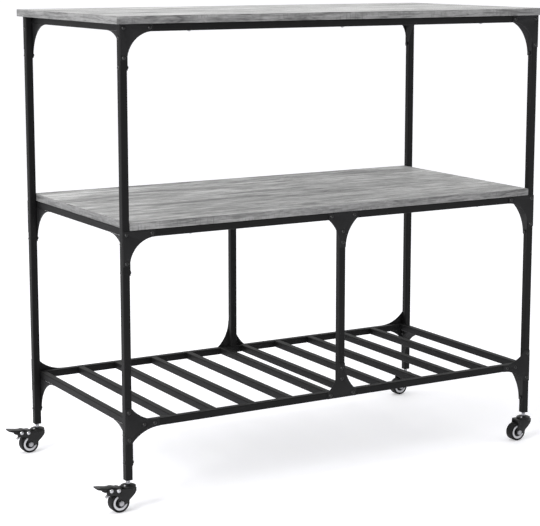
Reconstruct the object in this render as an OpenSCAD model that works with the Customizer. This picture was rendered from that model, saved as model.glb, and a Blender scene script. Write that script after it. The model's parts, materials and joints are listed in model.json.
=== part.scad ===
// Kitchen island cart: two boards and a slatted rack on a square-tube frame with casters.
// Millimetres. +X runs along the cart, away from the brake pedals; the front faces -Y; floor at z = 0.

/* [Frame] */
// Outside length over the legs
frame_l = 1000; // [800:10:1300]
// Outside depth over the legs
frame_d = 480; // [400:10:600]
// Height of the worktop above the floor
worktop_z = 966; // [850:1:1050]
// Side of the square tube
tube_w = 15; // [15:1:20]
// Outside corner radius of the tube
tube_r = 2; // [1.5:0.5:3]
// Wall of the tube
tube_t = 1.2; // [1:0.1:1.4]
// Floor to the lower end of the legs
leg_foot_z = 62; // [60:1:64]

/* [Boards] */
// Thickness of both boards
board_t = 15; // [12:1:25]
// Overhang of the worktop past the legs, all round
overhang = 10; // [5:1:30]
// Radius of the boards' corners in plan
board_r = 2; // [1:0.5:4]
// Gap between the shelf board and the legs
board_gap = 0.5; // [0.3:0.1:2]
// Top of the shelf board above the floor
shelf_z = 572; // [500:1:620]

/* [Rack] */
// Middle of the rack's tubes above the floor
rack_z = 171; // [150:1:300]
// Slats on each side of the middle posts
slats_a_side = 5; // [3:1:5]
// First slat's distance from the middle of the cart
slat_first = 28; // [24:1:40]
// Spacing of the slats
slat_pitch = 89.9; // [60:0.1:90]

/* [Plates] */
// Thickness of the joining plates
plate_t = 1.2; // [1:0.1:2]
// Gap from a plate's edge to the tube's edge
plate_inset = 0.5; // [0.2:0.1:1]
// Length of a corner plate's arms, from the outer corner
corner_l = 70; // [65:1:80]
// Reach of a tee plate's cross arm each way
tee_half = 35; // [32:1:38]
// Reach of a tee plate's stem from its cross arm's middle
tee_stem = 66.5; // [64:0.5:80]
// Radius of a tee plate's two arcs
tee_arc = 78; // [70:1:90]
// Radius of a side gusset's arc, and its drop below the rail
gusset_arc = 72.5; // [70:0.5:76]

/* [Fasteners] */
// Thread radius of the frame bolts
bolt_r = 1.95; // [1.9:0.01:2]
// Radius of the frame bolts' dome heads
head_r = 4; // [3.5:0.1:4.5]
// Height of the frame bolts' dome heads
head_h = 2.8; // [2:0.1:3]

/* [Casters] */
// Radius of the wheels
wheel_r = 20; // [20:1:20]
// Width of the wheels
wheel_w = 20; // [18:1:20]
// Distance of the wheel's axle behind the stem
trail = 21; // [20:0.5:22]
// Radius of the threaded stem
stem_r = 4; // [4:0.5:4]
// Radius of the bearing cap
cap_r = 15.5; // [15:0.5:16]
// Distance of the pedal's tip behind the stem
pedal_reach = 70; // [66:1:72]

/* [Hidden] */
$fn = 64;

steel = [0.13, 0.13, 0.14];
zinc = [0.78, 0.79, 0.80];
oak = [0.78, 0.77, 0.75];

half = tube_w / 2;
// The box's middle is the origin, so the frame sits to +X by half of the pedals' extra reach.
frame_x = (pedal_reach - half - overhang) / 2;
left = frame_x - frame_l / 2;
right = frame_x + frame_l / 2;
front = -frame_d / 2;
back = frame_d / 2;

top_rail_z = worktop_z - board_t - half;
shelf_rail_z = shelf_z - board_t - half;
RAIL_Z = [top_rail_z, shelf_rail_z, rack_z];
post_l = shelf_rail_z - rack_z - tube_w;

// Hole places along a corner plate's arm and a tee plate's arms
corner_hole = 62.6;
corner_hole_z = 56.1;
tee_hole = 27.5;
stem_hole_1 = 33;
stem_hole_2 = 56;
gusset_hole_1 = 18.3;
gusset_hole_2 = 74.5;
LEG_HOLES = [
    top_rail_z, top_rail_z - corner_hole_z, shelf_rail_z, shelf_rail_z - corner_hole_z,
    rack_z - tee_hole, rack_z + tee_hole
];
POST_HOLES = [
    rack_z + stem_hole_1, rack_z + stem_hole_2,
    shelf_rail_z - stem_hole_1, shelf_rail_z - stem_hole_2
];
RAIL_REACH = [corner_hole, stem_hole_1 + half, stem_hole_2 + half];
SCREW_X = [-0.35 * frame_l, 0, 0.35 * frame_l];

fit = 0.05;
nut_r = 3;
nut_l = 9;
nut_hex = 4.04;
nut_h = 3;
screw_r = 2;
screw_bite = 10;

// Caster heights above the floor, and sizes that go with them
fork_t = 1.5;
fork_top_z = 48;
fork_y = wheel_w / 2 + 1;
swivel_fit = 0.06;
cap_z = fork_top_z + 0.4;
cap_top_z = 54.5;
axle_r = 3;
hex_r = 5.77;
pin_r = 1.75;
pin_head_r = 4;
PIN_1 = [-25.3, 45.9];
PIN_2 = [-40.7, 47.8];
lift_deg = 15;

// ---------- shared shapes ----------

// Square with round corners, its middle at the origin
module round_square(w, l, r) {
    square([w - 2 * r, l], center = true);
    square([w, l - 2 * r], center = true);
    for (x = [-1, 1], y = [-1, 1])
        translate([x * (w / 2 - r), y * (l / 2 - r)]) circle(r);
}

module tube(l) {
    linear_extrude(l) difference() {
        round_square(tube_w, tube_w, tube_r);
        round_square(tube_w - 2 * tube_t, tube_w - 2 * tube_t, tube_r - tube_t);
    }
}

// Holes through one wall of a tube that faces the front, from that face inwards
module nut_hole(x, z, face, dir)
    translate([x, face - dir * 0.5, z]) rotate([-90 * dir, 0, 0])
        cylinder(r = nut_r + fit, h = half);

// Spherical cap of radius r and height h, standing on z = 0
module dome(r, h) {
    ball_r = (r * r + h * h) / (2 * h);
    rotate_extrude() intersection() {
        translate([0, h - ball_r]) circle(ball_r);
        square([r, h]);
    }
}

// Bolt with a dome head above z = 0 and its shank below
module dome_bolt(l) {
    socket_r = 1.44;
    socket_d = 1.4;
    difference() {
        union() {
            dome(head_r, head_h);
            translate([0, 0, -l]) cylinder(r = bolt_r, h = l + 0.1);
        }
        translate([0, 0, head_h - socket_d]) cylinder(r = socket_r, h = socket_d + 1, $fn = 6);
    }
}

// ---------- boards ----------

END_SCREWS = [SCREW_X[0], SCREW_X[2]];

// Pilot holes up into the underside of a board at height z
module screw_holes(places, z)
    for (x = places, y = [front + half, back - half])
        translate([frame_x + x, y, z - fit])
            cylinder(r = screw_r + fit, h = screw_bite + 0.5);

module top_board() {
    color(oak) difference() {
        translate([frame_x, 0, worktop_z - board_t]) linear_extrude(board_t)
            round_square(frame_l + 2 * overhang, frame_d + 2 * overhang, board_r);
        screw_holes(SCREW_X, worktop_z - board_t);
    }
}

module shelf_board() {
    color(oak) difference() {
        translate([frame_x, 0, shelf_z - board_t]) linear_extrude(board_t)
            round_square(frame_l - 2 * tube_w - 2 * board_gap, frame_d, board_r);
        screw_holes(END_SCREWS, shelf_z - board_t);
    }
}

// ---------- frame ----------

// side: -1 left, 1 right; dir: 1 front, -1 back
module leg(side, dir) {
    x = frame_x + side * (frame_l / 2 - half);
    y = -dir * (frame_d / 2 - half);
    color(steel) difference() {
        translate([x, y, leg_foot_z]) tube(worktop_z - board_t - leg_foot_z);
        for (z = LEG_HOLES) nut_hole(x, z, -dir * frame_d / 2, dir);
        for (z = RAIL_Z, drop = [gusset_hole_1, gusset_hole_2])
            translate([x - tube_w, y, z - drop]) rotate([0, 90, 0])
                cylinder(r = bolt_r + fit, h = 2 * tube_w);
    }
}

module leg_front_left() leg(-1, 1);
module leg_front_right() leg(1, 1);
module leg_back_left() leg(-1, -1);
module leg_back_right() leg(1, -1);

module post(dir) {
    y = -dir * (frame_d / 2 - half);
    color(steel) difference() {
        translate([frame_x, y, rack_z + half]) tube(post_l);
        for (z = POST_HOLES) nut_hole(frame_x, z, -dir * frame_d / 2, dir);
    }
}

module post_front() post(1);
module post_back() post(-1);

// Rail along X between the legs; reach lists its end holes from the leg's outer face
module long_rail(z, dir, reach, middle, screws) {
    y = -dir * (frame_d / 2 - half);
    face = -dir * frame_d / 2;
    color(steel) difference() {
        translate([left + tube_w, y, z]) rotate([0, 90, 0]) tube(frame_l - 2 * tube_w);
        for (r = reach, side = [-1, 1])
            nut_hole(frame_x + side * (frame_l / 2 - r), z, face, dir);
        if (middle) for (side = [-1, 1]) nut_hole(frame_x + side * tee_hole, z, face, dir);
        for (x = screws)
            translate([frame_x + x, y, z - tube_w]) cylinder(r = screw_r + fit, h = 2 * tube_w);
    }
}

TEE_REACH = [RAIL_REACH[1], RAIL_REACH[2]];
module top_rail_front() long_rail(top_rail_z, 1, [corner_hole], false, SCREW_X);
module top_rail_back() long_rail(top_rail_z, -1, [corner_hole], false, SCREW_X);
module shelf_rail_front() long_rail(shelf_rail_z, 1, [corner_hole], true, END_SCREWS);
module shelf_rail_back() long_rail(shelf_rail_z, -1, [corner_hole], true, END_SCREWS);
module rack_rail_front() long_rail(rack_z, 1, TEE_REACH, true, []);
module rack_rail_back() long_rail(rack_z, -1, TEE_REACH, true, []);

// Tube along Y between the front and back rails, at x from the middle of the cart
module cross_tube(x, z)
    translate([frame_x + x, front + tube_w, z]) rotate([-90, 0, 0]) tube(frame_d - 2 * tube_w);

module side_rail(z, side) color(steel) cross_tube(side * (frame_l / 2 - tube_w - half), z);

module top_rail_left() side_rail(top_rail_z, -1);
module top_rail_right() side_rail(top_rail_z, 1);
module shelf_rail_left() side_rail(shelf_rail_z, -1);
module shelf_rail_right() side_rail(shelf_rail_z, 1);
module rack_rail_left() side_rail(rack_z, -1);
module rack_rail_right() side_rail(rack_z, 1);

module slats(side)
    color(steel) for (i = [0 : slats_a_side - 1])
        cross_tube(side * (slat_first + i * slat_pitch), rack_z);

module rack_slats_left() slats(-1);
module rack_slats_right() slats(1);

// ---------- plates ----------

plate_w = tube_w - 2 * plate_inset;
bolt_hole = bolt_r + 0.3;

// Corner plate in its own plane: the outer corner at the origin, arms along +x and -y
module corner_plate() {
    arc_r = corner_l - tube_w;
    linear_extrude(plate_t) difference() {
        translate([plate_inset, plate_inset - corner_l])
            square(corner_l - 2 * plate_inset);
        translate([corner_l, -corner_l]) circle(arc_r + plate_inset);
        for (p = [[half, -half], [corner_hole, -half], [half, -half - corner_hole_z]])
            translate(p) circle(bolt_hole);
    }
}

// Tee plate in its own plane: cross arm along y through the origin, stem along +x
module tee_plate() {
    arm = plate_w / 2;
    linear_extrude(plate_t) difference() {
        union() {
            translate([-arm, -tee_half]) square([plate_w, 2 * tee_half]);
            translate([0, -tee_half]) square([tee_stem, 2 * tee_half]);
        }
        for (s = [-1, 1]) {
            translate([tee_stem, s * (arm + tee_arc)]) circle(tee_arc);
            translate([0, s * tee_hole]) circle(bolt_hole);
        }
        translate([stem_hole_1, 0]) circle(bolt_hole);
        translate([stem_hole_2, 0]) circle(bolt_hole);
    }
}

// Lies a flat plate on the front (dir 1) or back (dir -1) face, its x along +X or -X by side
module stand(x, z, side, dir)
    translate([x, -dir * frame_d / 2, z]) mirror([side < 0 ? 1 : 0, 0, 0])
        mirror([0, dir < 0 ? 1 : 0, 0]) rotate([90, 0, 0]) children();

module corner_plates() {
    color(steel) for (z = [top_rail_z, shelf_rail_z], side = [-1, 1], dir = [-1, 1])
        stand(frame_x + side * frame_l / 2, z + half, -side, dir) corner_plate();
}

module tee_plates() {
    color(steel) for (dir = [-1, 1]) {
        for (side = [-1, 1])
            stand(frame_x + side * (frame_l / 2 - half), rack_z, -side, dir) tee_plate();
        stand(frame_x, rack_z, 1, dir) rotate([0, 0, 90]) tee_plate();
        stand(frame_x, shelf_rail_z, 1, dir) rotate([0, 0, -90]) tee_plate();
    }
}

// Side gusset in its own plane: the leg's outer edge and the rail's underside meet at the origin
module side_gusset() {
    linear_extrude(plate_t) difference() {
        translate([plate_inset, -gusset_arc])
            square([tube_w + gusset_arc - plate_inset, gusset_arc]);
        translate([tube_w + gusset_arc, -gusset_arc]) circle(gusset_arc);
        for (drop = [gusset_hole_1, gusset_hole_2])
            translate([half, half - drop]) circle(bolt_hole);
    }
}

module side_gussets() {
    color(steel) for (z = RAIL_Z, side = [-1, 1], dir = [-1, 1])
        translate([frame_x + side * (frame_l / 2 - tube_w), -dir * frame_d / 2, z - half])
            mirror([0, dir < 0 ? 1 : 0, 0]) mirror([side > 0 ? 1 : 0, 0, 0])
                rotate([0, 0, 90]) rotate([90, 0, 0]) side_gusset();
}

// ---------- fasteners ----------

// Every bolt place of one face, as [x, z]
PLATE_BOLTS = concat(
    [for (s = [-1, 1], z = LEG_HOLES) [frame_x + s * (frame_l / 2 - half), z]],
    [for (s = [-1, 1], z = [top_rail_z, shelf_rail_z])
        [frame_x + s * (frame_l / 2 - corner_hole), z]],
    [for (s = [-1, 1], r = TEE_REACH) [frame_x + s * (frame_l / 2 - r), rack_z]],
    [for (s = [-1, 1], z = [rack_z, shelf_rail_z]) [frame_x + s * tee_hole, z]],
    [for (z = POST_HOLES) [frame_x, z]]
);

module plate_bolts() {
    color(steel) for (p = PLATE_BOLTS, dir = [-1, 1])
        translate([p[0], -dir * (frame_d / 2 + plate_t), p[1]]) rotate([90 * dir, 0, 0])
            dome_bolt(nut_l);
}

module rivet_nuts() {
    color(zinc) for (p = PLATE_BOLTS, dir = [-1, 1])
        translate([p[0], -dir * frame_d / 2, p[1]]) rotate([-90 * dir, 0, 0]) difference() {
            cylinder(r = nut_r, h = nut_l);
            translate([0, 0, -1]) cylinder(r = bolt_r + fit, h = nut_l + 2);
        }
}

// Puts children at every side bolt, their z pointing out of the cart
module at_side_bolts()
    for (z = RAIL_Z, drop = [gusset_hole_1, gusset_hole_2], side = [-1, 1], dir = [-1, 1])
        translate([frame_x + side * frame_l / 2, -dir * (frame_d / 2 - half), z - drop])
            rotate([0, 90 * side, 0]) children();

module gusset_bolts() color(steel) at_side_bolts() dome_bolt(tube_w + plate_t + nut_h);

module cap_nuts() {
    color(steel) at_side_bolts() translate([0, 0, -tube_w - plate_t]) difference() {
        rotate([180, 0, 0]) union() {
            cylinder(r = nut_hex, h = nut_h, $fn = 6);
            translate([0, 0, nut_h - 0.1]) dome(nut_hex * 0.8, 1.6);
        }
        translate([0, 0, -nut_h - fit]) cylinder(r = bolt_r + fit, h = nut_h + 1);
    }
}

module board_screw() {
    cylinder(r = screw_r, h = tube_w + screw_bite);
    rotate([180, 0, 0]) dome(head_r, head_h * 0.8);
}

module board_screws() {
    color(zinc) for (y = [front + half, back - half]) {
        for (x = SCREW_X) translate([frame_x + x, y, top_rail_z - half]) board_screw();
        for (x = END_SCREWS) translate([frame_x + x, y, shelf_rail_z - half]) board_screw();
    }
}

// ---------- caster, fixed half ----------

module at_legs()
    for (side = [-1, 1], dir = [-1, 1])
        translate([frame_x + side * (frame_l / 2 - half), -dir * (frame_d / 2 - half), 0])
            children();

insert_w = tube_w - 2 * tube_t - 2 * fit;
insert_l = 25;
stem_top_z = 84;

module leg_inserts() {
    color(steel) at_legs() translate([0, 0, leg_foot_z]) difference() {
        linear_extrude(insert_l) round_square(insert_w, insert_w, tube_r - tube_t);
        translate([0, 0, -1]) cylinder(r = stem_r + fit, h = insert_l + 2);
    }
}

module caster_stems() {
    rivet_r = 6.2;
    rivet_h = 2.4;
    rivet_z = fork_top_z - 2 - 0.3 - rivet_h;
    color(zinc) at_legs() {
        translate([0, 0, rivet_z]) cylinder(r = stem_r, h = stem_top_z - rivet_z);
        translate([0, 0, rivet_z]) cylinder(r = rivet_r, h = rivet_h);
    }
}

// Fixed half of the swivel bearing: a domed cap with a ball race in its underside
module bearing_caps() {
    rim_h = 2.2;
    race_in = 8;
    race_out = 12.2;
    race_h = 2.8;
    dome_h = cap_top_z - cap_z - rim_h;
    ball_r = (cap_r * cap_r + dome_h * dome_h) / (2 * dome_h);
    bore = stem_r + fit;
    color(steel) at_legs() translate([0, 0, cap_z]) rotate_extrude() difference() {
        union() {
            square([cap_r, rim_h]);
            translate([0, rim_h]) intersection() {
                translate([0, dome_h - ball_r]) circle(ball_r);
                translate([0, -1]) square([cap_r, dome_h + 1]);
            }
        }
        translate([-1, -1]) square([bore + 1, cap_r]);
        translate([race_in, -1]) square([race_out - race_in, race_h + 1]);
    }
}

module bearing_balls() {
    ball_r = 1.4;
    race_r = 10.4;
    balls = 8;
    color(zinc) at_legs() for (i = [0 : balls - 1])
        rotate(i * 360 / balls) translate([race_r, 0, fork_top_z + 0.2 + ball_r])
            sphere(ball_r);
}

// ---------- caster, swivelling half ----------
// Side outlines are drawn in x and z from the stem's axis at floor level.

FRONT_EDGE = [[-5, 19], [-2.5, 24.5], [4.7, 31], [9.5, 36], [12.3, 41], [12.5, fork_top_z]];
PLAIN_EDGE = [[-22, fork_top_z], [-23, 38], [-24.9, 31.7], [-26.4, 27.7], [-28.3, 21]];
BRAKED_EDGE = [
    [-17, fork_top_z], [-20, 50.5], [-48, 51], [-51.9, 46.1], [-50.5, 41.5],
    [-45, 38.5], [-33, 37.5], [-26.4, 33], [-26.8, 27.7], [-28.3, 21]
];
AXLE_EDGE = [[-trail, wheel_r], [-18, 13.2], [-14.5, 14.8]];

// Stands an outline in x and z up, t thick, centred on y
module upright(t, y = 0)
    translate([0, y + t / 2, 0]) rotate([90, 0, 0]) linear_extrude(t) children();

module cheek(braked) difference() {
    union() {
        polygon(concat(FRONT_EDGE, braked ? BRAKED_EDGE : PLAIN_EDGE, AXLE_EDGE));
        translate([-trail, wheel_r]) circle(7.5);
    }
    translate([-trail, wheel_r]) circle(axle_r + fit);
    if (braked) for (p = [PIN_1, PIN_2]) translate(p) circle(pin_r + fit);
}

// Yoke bent from one blank: a round top plate, a short skirt round its front and two cheeks
module fork(braked) {
    top_t = 2;
    skirt_h = 4;
    outer_y = fork_y + fork_t;
    difference() {
        union() {
            translate([0, 0, fork_top_z - top_t]) linear_extrude(top_t) {
                circle(cap_r);
                if (!braked) translate([-22, -outer_y]) square([22, 2 * outer_y]);
            }
            translate([0, 0, fork_top_z - skirt_h]) linear_extrude(skirt_h) intersection() {
                difference() {
                    circle(cap_r);
                    circle(cap_r - fork_t);
                }
                translate([0, -cap_r]) square(2 * cap_r);
            }
            for (s = [-1, 1]) upright(fork_t, s * (fork_y + fork_t / 2)) cheek(braked);
        }
        cylinder(r = stem_r + swivel_fit, h = 100);
    }
}

module axle() {
    head_h = 3.5;
    outer_y = fork_y + fork_t;
    translate([-trail, 0, wheel_r]) rotate([90, 0, 0]) {
        translate([0, 0, -outer_y]) cylinder(r = axle_r, h = 2 * outer_y + head_h);
        translate([0, 0, -outer_y - head_h]) cylinder(r = hex_r, h = head_h, $fn = 6);
        translate([0, 0, outer_y]) difference() {
            cylinder(r = hex_r, h = head_h - 0.5, $fn = 6);
            translate([0, 0, -1]) cylinder(r = axle_r + fit, h = head_h + 1);
        }
    }
}

rim_r = 15.5;
hub_r = 10.7;
ring_y = wheel_w / 2 - 0.5;

module rim() {
    boss_r = 6;
    bore = axle_r + swivel_fit;
    boss_y = fork_y - 0.4;
    hub_y = ring_y - 1;
    translate([-trail, 0, wheel_r]) rotate([90, 0, 0]) rotate_extrude() {
        translate([bore, -boss_y]) square([boss_r - bore, 2 * boss_y]);
        translate([boss_r - 0.1, -hub_y]) square([hub_r - boss_r + 0.2, 2 * hub_y]);
        translate([hub_r, -ring_y]) square([rim_r - hub_r, 2 * ring_y]);
    }
}

module tyre() {
    round_r = 2.2;
    bed = rim_r + fit;
    face_y = wheel_w / 2;
    translate([-trail, 0, wheel_r]) rotate([90, 0, 0]) rotate_extrude() {
        translate([bed, -face_y]) square([wheel_r - round_r - bed, wheel_w]);
        translate([bed, round_r - face_y]) square([wheel_r - bed, wheel_w - 2 * round_r]);
        for (s = [-1, 1]) translate([wheel_r - round_r, s * (face_y - round_r)]) circle(round_r);
    }
}

// ---------- brake ----------

pedal_t = 1.2;
pedal_y = 9.9;
PEDAL_TOP = [
    [-pedal_reach, 57.1], [-59, 55.6], [-48, 53.8], [-41.5, 53.3], [-37, 54.1],
    [-31.5, 52.9], [-25, 50.6], [-18.5, 50.6]
];
PEDAL_LOW = [
    [-18.5, 47], [-21, 43.2], [-30, 42.5], [-36, 40], [-45, 40], [-50.4, 47.3],
    [-56.5, 48.4], [-60, 51], [-pedal_reach, 54.2]
];

// Slot that lets the rear pin pass as the pedal lifts about the front pin
module stop_slot() {
    slot_r = pin_r + 0.35;
    arm = PIN_2 - PIN_1;
    steps = 3;
    for (i = [0 : steps]) {
        a = lift_deg * i / steps;
        translate(PIN_1 + [
            arm[0] * cos(a) - arm[1] * sin(a), arm[0] * sin(a) + arm[1] * cos(a)
        ]) circle(slot_r);
    }
}

module pedal() {
    turned = [for (i = [len(PEDAL_TOP) - 1 : -1 : 0]) PEDAL_TOP[i] - [0, pedal_t]];
    upright(2 * pedal_y) polygon(concat(PEDAL_TOP, turned));
    upright(2 * pedal_y) polygon([
        PEDAL_TOP[0], [pedal_t - pedal_reach, 57], [pedal_t - pedal_reach, 54.2],
        [-pedal_reach, 54.2]
    ]);
    for (s = [-1, 1]) upright(pedal_t, s * (pedal_y - pedal_t / 2)) difference() {
        polygon(concat(PEDAL_TOP, PEDAL_LOW));
        translate(PIN_1) circle(pin_r + swivel_fit);
        stop_slot();
    }
}

module brake_pins() {
    outer_y = fork_y + fork_t;
    for (p = [PIN_1, PIN_2]) translate([p[0], 0, p[1]]) {
        rotate([90, 0, 0]) translate([0, 0, -outer_y]) cylinder(r = pin_r, h = 2 * outer_y);
        for (s = [-1, 1]) rotate([90 * s, 0, 0]) translate([0, 0, outer_y]) dome(pin_head_r, 2);
    }
}

// Bent strip under the pedal whose tail shows behind the wheel
module brake_plate() {
    strip_y = 5.5;
    upright(2 * strip_y) polygon([
        [-37.1, 52.7], [-37.1, 42.3], [-49.1, 32.5], [-48.3, 31.5], [-35.9, 41.7], [-35.9, 52.4]
    ]);
}

module brake_pad() {
    pad_y = 6;
    pad_gap = 0.35;
    upright(2 * pad_y) difference() {
        polygon([[-30, 41.3], [-35.8, 41.3], [-41.6, 36.6], [-38, 30], [-33, 33]]);
        translate([-trail, wheel_r]) circle(wheel_r + pad_gap);
    }
}

// ---------- casters in place ----------

// side: -1 left, 1 right; dir: 1 front, -1 back
module at_caster(side, dir)
    translate([frame_x + side * (frame_l / 2 - half), -dir * (frame_d / 2 - half), 0])
        children();

module fork_front_left() color(steel) at_caster(-1, 1) fork(true);
module fork_front_right() color(steel) at_caster(1, 1) fork(false);
module fork_back_left() color(steel) at_caster(-1, -1) fork(true);
module fork_back_right() color(steel) at_caster(1, -1) fork(false);
module axle_front_left() color(zinc) at_caster(-1, 1) axle();
module axle_front_right() color(zinc) at_caster(1, 1) axle();
module axle_back_left() color(zinc) at_caster(-1, -1) axle();
module axle_back_right() color(zinc) at_caster(1, -1) axle();
module rim_front_left() color(zinc) at_caster(-1, 1) rim();
module rim_front_right() color(zinc) at_caster(1, 1) rim();
module rim_back_left() color(zinc) at_caster(-1, -1) rim();
module rim_back_right() color(zinc) at_caster(1, -1) rim();
module tyre_front_left() color(steel) at_caster(-1, 1) tyre();
module tyre_front_right() color(steel) at_caster(1, 1) tyre();
module tyre_back_left() color(steel) at_caster(-1, -1) tyre();
module tyre_back_right() color(steel) at_caster(1, -1) tyre();
module pedal_front() color(steel) at_caster(-1, 1) pedal();
module pedal_back() color(steel) at_caster(-1, -1) pedal();
module brake_pins_front() color(zinc) at_caster(-1, 1) brake_pins();
module brake_pins_back() color(zinc) at_caster(-1, -1) brake_pins();
module brake_plate_front() color(zinc) at_caster(-1, 1) brake_plate();
module brake_plate_back() color(zinc) at_caster(-1, -1) brake_plate();
module brake_pad_front() color(steel) at_caster(-1, 1) brake_pad();
module brake_pad_back() color(steel) at_caster(-1, -1) brake_pad();

top_board();
shelf_board();
leg_front_left();
leg_front_right();
leg_back_left();
leg_back_right();
post_front();
post_back();
top_rail_front();
top_rail_back();
top_rail_left();
top_rail_right();
shelf_rail_front();
shelf_rail_back();
shelf_rail_left();
shelf_rail_right();
rack_rail_front();
rack_rail_back();
rack_rail_left();
rack_rail_right();
rack_slats_left();
rack_slats_right();
corner_plates();
tee_plates();
side_gussets();
plate_bolts();
rivet_nuts();
gusset_bolts();
cap_nuts();
board_screws();
leg_inserts();
caster_stems();
bearing_caps();
bearing_balls();
fork_front_left();
fork_front_right();
fork_back_left();
fork_back_right();
axle_front_left();
axle_front_right();
axle_back_left();
axle_back_right();
rim_front_left();
rim_front_right();
rim_back_left();
rim_back_right();
tyre_front_left();
tyre_front_right();
tyre_back_left();
tyre_back_right();
pedal_front();
pedal_back();
brake_pins_front();
brake_pins_back();
brake_plate_front();
brake_plate_back();
brake_pad_front();
brake_pad_back();
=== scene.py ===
# %% [markdown]
# # Kitchen island cart
#
# A cart of two grey boards on a black square-tube frame, with a slatted rack below and casters
# at the legs. The frame, its holes and its joints come packed from the CAD step, so this lesson
# is about looks: cut panels with edge bands, moulded wheels, pressed steel with soft edges, and
# materials made only of nodes.

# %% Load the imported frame
import json
import math

import bpy
from mathutils import Matrix, Vector

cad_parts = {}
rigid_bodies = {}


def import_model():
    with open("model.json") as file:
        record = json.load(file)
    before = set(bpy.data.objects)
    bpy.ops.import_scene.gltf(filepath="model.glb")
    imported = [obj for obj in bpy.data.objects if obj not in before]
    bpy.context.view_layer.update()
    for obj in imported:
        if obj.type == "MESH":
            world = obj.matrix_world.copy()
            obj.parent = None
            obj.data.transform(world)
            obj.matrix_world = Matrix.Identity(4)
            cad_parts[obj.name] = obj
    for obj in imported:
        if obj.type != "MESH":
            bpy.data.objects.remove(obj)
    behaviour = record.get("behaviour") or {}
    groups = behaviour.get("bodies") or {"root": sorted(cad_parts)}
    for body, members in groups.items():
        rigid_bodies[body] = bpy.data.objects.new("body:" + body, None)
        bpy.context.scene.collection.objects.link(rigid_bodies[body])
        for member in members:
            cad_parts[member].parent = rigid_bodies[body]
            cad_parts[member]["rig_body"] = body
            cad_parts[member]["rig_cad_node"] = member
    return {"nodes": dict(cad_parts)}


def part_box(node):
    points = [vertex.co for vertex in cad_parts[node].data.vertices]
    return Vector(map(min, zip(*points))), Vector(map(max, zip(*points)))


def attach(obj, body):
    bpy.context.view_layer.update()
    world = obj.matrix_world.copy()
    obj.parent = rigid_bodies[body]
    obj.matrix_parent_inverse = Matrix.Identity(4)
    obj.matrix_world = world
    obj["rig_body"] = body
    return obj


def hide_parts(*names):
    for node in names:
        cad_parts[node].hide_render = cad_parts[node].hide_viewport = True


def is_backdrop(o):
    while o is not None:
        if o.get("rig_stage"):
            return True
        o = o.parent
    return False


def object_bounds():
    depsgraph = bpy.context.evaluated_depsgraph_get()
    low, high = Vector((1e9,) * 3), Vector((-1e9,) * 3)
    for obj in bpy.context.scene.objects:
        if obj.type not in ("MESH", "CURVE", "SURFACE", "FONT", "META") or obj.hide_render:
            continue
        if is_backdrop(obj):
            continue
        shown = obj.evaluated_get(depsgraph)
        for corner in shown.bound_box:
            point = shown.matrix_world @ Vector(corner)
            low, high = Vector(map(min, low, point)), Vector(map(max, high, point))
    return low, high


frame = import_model()
cad_low, cad_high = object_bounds()
nodes = frame["nodes"]
print(f"{len(nodes)} CAD nodes, box {[round(v, 4) for v in cad_high - cad_low]} m")

# %% [markdown]
# ## Units and places
#
# Everything is in metres, in the same frame as the CAD. A place could be typed in again here,
# but it is taken from the box of a CAD node instead, so a piece that is modelled here lands
# exactly where the CAD solid is. Small sizes are easier to read in millimetres, and MM turns
# them into metres.

# %% Places taken from the frame
MM = 0.001
FRONT_LEFT = "front_left"
CORNERS = [FRONT_LEFT, "front_right", "back_left", "back_right"]


def centre(node):
    low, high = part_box(node)
    return (low + high) / 2


LEG_AXIS = {corner: centre(f"leg_{corner}") for corner in CORNERS}
WHEEL_AXIS = {corner: centre(f"rim_{corner}") for corner in CORNERS}
print("wheel axle height", round(WHEEL_AXIS[FRONT_LEFT].z / MM, 2), "mm")

# %% [markdown]
# ## Camera
#
# The cart is seen from its front left corner, from a little above the worktop. A short lens
# close by would make the near leg look much longer than the others, so a long lens is used from
# far away, which keeps the uprights almost parallel. The camera is placed by two angles and a
# distance from a point in the cart, which are easier to read and change than coordinates. A
# small shift of the lens centres the cart without tilting the camera.

# %% Camera at a three-quarter view
AZIMUTH = math.radians(-30.2)
ELEVATION = math.radians(9.5)
DISTANCE = 3.63
TARGET = Vector((-0.008, 0, 0.475))

bpy.ops.object.camera_add()
camera = bpy.context.object
camera.name = "camera"
back = Vector((
    math.sin(AZIMUTH) * math.cos(ELEVATION),
    -math.cos(AZIMUTH) * math.cos(ELEVATION),
    math.sin(ELEVATION),
))
camera.location = TARGET + back * DISTANCE
camera.rotation_euler = (-back).to_track_quat("-Z", "Y").to_euler()
camera.data.lens = 111
camera.data.sensor_width = 36
camera.data.shift_y = -0.05
camera.data.clip_end = 200
bpy.context.scene.camera = camera
print("camera at", [round(v, 3) for v in camera.location])

# %% [markdown]
# ## Studio
#
# A studio for catalogues has a white floor, a white surround and big soft lights. Small lamps
# would draw a hard shadow of every tube, so three area lights do the modelling: a key low at
# the left, a weak fill from the right, and a top light for the boards. The floor is one wide
# disc just under the wheels. The Standard view transform shows white as white and black as
# black, where the default one would turn both a little grey.

# %% Floor
FLOOR_RADIUS = 60
FLOOR_DROP = 0.5 * MM

bpy.ops.object.select_all(action="DESELECT")
bpy.ops.mesh.primitive_circle_add(
    vertices=96, radius=FLOOR_RADIUS, fill_type="NGON", location=(0, 0, -FLOOR_DROP))
floor = bpy.context.object
floor.name = "studio_floor"
floor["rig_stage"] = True
print("floor reaches", FLOOR_RADIUS, "m out")

# %% World and lights
LIGHTS = {
    # name: (place, width and height, watts)
    "key": ((-3.4, -1.3, 1.75), (1.4, 1.2), 80),
    "fill": ((3.2, -2.0, 1.4), (2.0, 1.6), 14),
    "top": ((-0.9, 0.1, 3.2), (1.8, 1.6), 26),
}
LIT_POINT = Vector((0, 0, 0.5))

world = bpy.data.worlds.new("studio")
bpy.context.scene.world = world
bpy.context.scene.view_settings.view_transform = "Standard"
world.use_nodes = True
surround = world.node_tree.nodes["Background"]

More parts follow.
